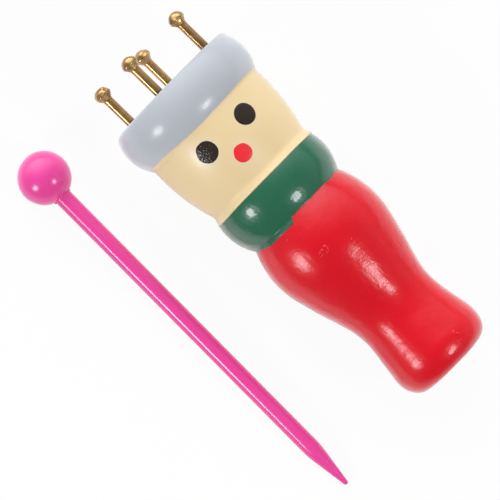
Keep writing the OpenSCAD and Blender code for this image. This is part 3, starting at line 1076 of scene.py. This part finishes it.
def hammered(points, foot_point, seed):
    """Points of a nail, measured from its foot, after the hammer and in their places: what stands over a
    leaning flat on the crown is pressed down, and a ripple dents the head towards and away from its axis."""
    rng = np.random.default_rng(seed)
    lean = rng.normal(size=2) * FLAT_LEAN
    flat_way = doll_up + lean[0] * doll_right + lean[1] * doll_front
    flat_way /= np.linalg.norm(flat_way)
    above = points @ flat_way - (NAIL_TOP - rng.uniform(*FLAT_CUT))
    points = points - np.maximum(above, 0)[:, None] * FLAT_SHARE * flat_way
    height = points @ doll_up
    away = points - height[:, None] * doll_up
    out = away / np.maximum(np.linalg.norm(away, axis=1, keepdims=True), AXIS_CLEAR)
    head = smooth_step(height, NAIL_REACH, NAIL_REACH + NAIL_CONE)
    points = foot_point + points
    dent = DENT_DEPTH * head * ripple(points, DENT_SIZE, seed + 7)
    return points + dent[:, None] * out


# %% Nails
NAIL_COLUMNS = 64
NAIL_POLES = (NAIL_TOP - 0.01, -NAIL_DEPTH - 0.1)
PAINTED_ENTRY_SHADE_SHARE = 0.95
PAINTED_ENTRY_SHADE_REACH = 0.8


def nail(name, node_name, seed):
    """A nail in its hole: the profile turned about a line beside the doll's axis, then hammered."""
    offset = middle(node_name) - doll_base
    offset -= (offset @ doll_up) * doll_up
    foot_point = doll_base + BODY_H * doll_up + offset
    profile = nail_profile()
    turn = np.linspace(0, 2 * math.pi, NAIL_COLUMNS, endpoint=False)
    out = np.cos(turn)[:, None] * doll_right + np.sin(turn)[:, None] * doll_front
    grid = profile[:, None, 1:] * doll_up + profile[:, None, :1] * out
    poles = np.array(NAIL_POLES)[:, None] * doll_up
    points = hammered(np.concatenate([grid.reshape(-1, 3), poles]), foot_point, seed)
    count = len(profile) * NAIL_COLUMNS
    ring = np.arange(NAIL_COLUMNS)
    triangles = np.concatenate([fan(count, count - NAIL_COLUMNS + ring), fan(count + 1, ring)[:, ::-1]])
    made = piece(name, points, quads(len(profile), NAIL_COLUMNS), triangles)
    # Painted shade: strongest where the nail goes into the hat, and fading over the first millimetre above
    # it.
    over_hat = np.maximum((points - foot_point) @ doll_up, 0)
    point_value(made, "entry_shade", PAINTED_ENTRY_SHADE_SHARE * np.exp(-over_hat / PAINTED_ENTRY_SHADE_REACH))
    return dress(made, brass_metal, "doll", "brass", node_name)


for number, side in enumerate(("front", "right", "rear", "left")):
    nail(side + "_nail", side + "_peg", 61 + number)

# %% [markdown]
# ## The needle
# The needle is a dowel with a turned taper, pressed into a wooden ball and dipped in pink paint with it.
# Shaft and ball are profiles turned about the needle's axis. The taper meets the shaft in a soft shoulder,
# which is a smooth minimum of the two radii. A little paint and glue gathers where the shaft enters the ball.

# %% Pink dip
PINK_DEEP = (0.868, 0.061, 0.33, 1)
PINK_PALE = (0.908, 0.075, 0.37, 1)
STREAK_DEPTH = 0.0003


def pink_dip(name, roughness):
    """Glossy pink over wood: faint streaks along the dowel and an even gloss."""
    paint, tree = empty_material(name)
    grain = noise(tree, own_place(tree, (1.0, 0.06, 1.0)), scale=900.0, detail=1.0)
    show(tree, node(tree, "ShaderNodeBsdfPrincipled", {
        "Base Color": blend(tree, grain, PINK_DEEP, PINK_PALE), "Roughness": roughness,
        "Normal": bumpy(tree, grain, STREAK_DEPTH), "IOR": 1.5,
        "Sheen Weight": BLOOM, "Sheen Roughness": BLOOM_SPREAD}))
    return paint


dowel_pink = pink_dip("dowel_pink", 0.2)
bead_pink = pink_dip("bead_pink", 0.22)

# %% Turned about the needle's axis
SHAFT_R = 2.35
TIP_R = 0.65
TAPER_L = 12.0
SHOULDER_SOFT = 0.10
SOCKET_L = 7.0
SOCKET_END = NEEDLE_L - BALL_R + SOCKET_L
SOCKET_FIT = 0.02
MOUTH_ROUND = 0.25
EVEN_R = 1.2


def turned_on_needle(name, profile, columns, uneven, length, seed, low_pole, high_pole):
    """A profile of radius and height turned about the needle's axis, with poles on the axis at both ends.
    Its unevenness has a depth and a length, and fades out towards the axis."""
    turn = np.linspace(0, 2 * math.pi, columns, endpoint=False)
    r = np.broadcast_to(profile[:, :1], (len(profile), columns))
    y = np.broadcast_to(profile[:, 1:], r.shape)
    bearing = np.broadcast_to(turn, r.shape)
    r = r + uneven * ripple(on_needle(bearing, r, y), length, seed) * smooth_step(r, 0, EVEN_R)
    grid = on_needle(bearing, r, y).reshape(-1, 3)
    poles = needle_tip + np.array([[low_pole], [high_pole]]) * needle_up
    count = len(grid)
    ring = np.arange(columns)
    triangles = np.concatenate([fan(count, ring)[:, ::-1], fan(count + 1, count - columns + ring)])
    return piece(name, np.concatenate([grid, poles]), quads(len(profile), columns), triangles)


# %% Shaft
TIP_TURN = -0.1
TIP_ROWS = 12
TAPER_ROWS = 70
SHAFT_ROWS = 180
SHOULDER_END = TAPER_L + 4
ROW_GAP = 0.5


def shaft_profile():
    """The round tip, then the smooth minimum of a cone and a cylinder, up to the bottom of the socket."""
    turn = np.linspace(-math.pi / 2, TIP_TURN, TIP_ROWS)[1:]
    tip = np.stack([TIP_R * np.cos(turn), TIP_R + TIP_R * np.sin(turn)], 1)
    taper_y = np.linspace(TIP_R, SHOULDER_END, TAPER_ROWS)
    y = np.concatenate([taper_y, np.linspace(SHOULDER_END + ROW_GAP, SOCKET_END, SHAFT_ROWS)])
    cone = TIP_R + (y - TIP_R) * (SHAFT_R - TIP_R) / (TAPER_L - TIP_R)
    r = -SHOULDER_SOFT * np.log(np.exp(-cone / SHOULDER_SOFT) + np.exp(-SHAFT_R / SHOULDER_SOFT))
    r += SHAFT_R - r[-1]
    return np.concatenate([tip, np.stack([r, y], 1)])


shaft = turned_on_needle(
    "dowel", shaft_profile(), columns=72, uneven=0.005, length=14.0, seed=71,
    low_pole=0.0, high_pole=SOCKET_END)
dress(shaft, dowel_pink, "needle", "needle_pink", "needle_shaft")

# %% Ball
SOCKET_ROWS = 12
BALL_ROWS = 79
BEVEL_DEPTH = 0.3


def ball_profile():
    """The wall of the socket from its bottom up, a bevel at its mouth, then the sphere to the far pole."""
    hole = SHAFT_R + SOCKET_FIT
    mouth = math.asin((hole + MOUTH_ROUND) / BALL_R)
    mouth_y = NEEDLE_L - BALL_R * math.cos(mouth)
    wall_y = np.linspace(SOCKET_END + SOCKET_FIT, mouth_y + BEVEL_DEPTH, SOCKET_ROWS)
    wall = np.stack([np.full(SOCKET_ROWS, hole), wall_y], 1)
    turn = np.linspace(mouth, math.pi, BALL_ROWS + 1)[:-1]
    sphere = np.stack([BALL_R * np.sin(turn), NEEDLE_L - BALL_R * np.cos(turn)], 1)
    return np.concatenate([wall, sphere])


ball = turned_on_needle(
    "bead", ball_profile(), columns=96, uneven=0.02, length=6.0, seed=81,
    low_pole=SOCKET_END + SOCKET_FIT, high_pole=NEEDLE_L + BALL_R)
dress(ball, bead_pink, "needle", "needle_pink", "needle_ball")

# %% Glue ring
GLUE_THICK = 0.24
GLUE_OUT = 0.06
GLUE_DOWN = 0.10
GLUE_FLAT = 0.9
GLUE_COLUMNS = 96
GLUE_ROWS = 14


def glue_points():
    """A bead of glue and paint in the corner of shaft and ball: a small ring whose thickness wanders."""
    turn = np.linspace(0, 2 * math.pi, GLUE_COLUMNS, endpoint=False)
    round_turn = np.linspace(0, 2 * math.pi, GLUE_ROWS, endpoint=False)[:, None]
    corner_y = NEEDLE_L - math.sqrt(BALL_R ** 2 - (SHAFT_R + MOUTH_ROUND) ** 2)
    slow = wobble(turn, depth=0.05, seed=91, lowest=1, highest=9)
    quick = wobble(turn, depth=0.08, seed=92, lowest=10, highest=26)
    thick = GLUE_THICK + slow + quick
    r = SHAFT_R + GLUE_OUT + thick * np.cos(round_turn)
    y = corner_y - GLUE_DOWN + GLUE_FLAT * thick * np.sin(round_turn)
    return on_needle(np.broadcast_to(turn, r.shape), r, y).reshape(-1, 3)


glue = piece("glue_ring", glue_points(), quads(GLUE_ROWS, GLUE_COLUMNS, loop_rows=True))
dress(glue, bead_pink, "needle", "needle_pink")
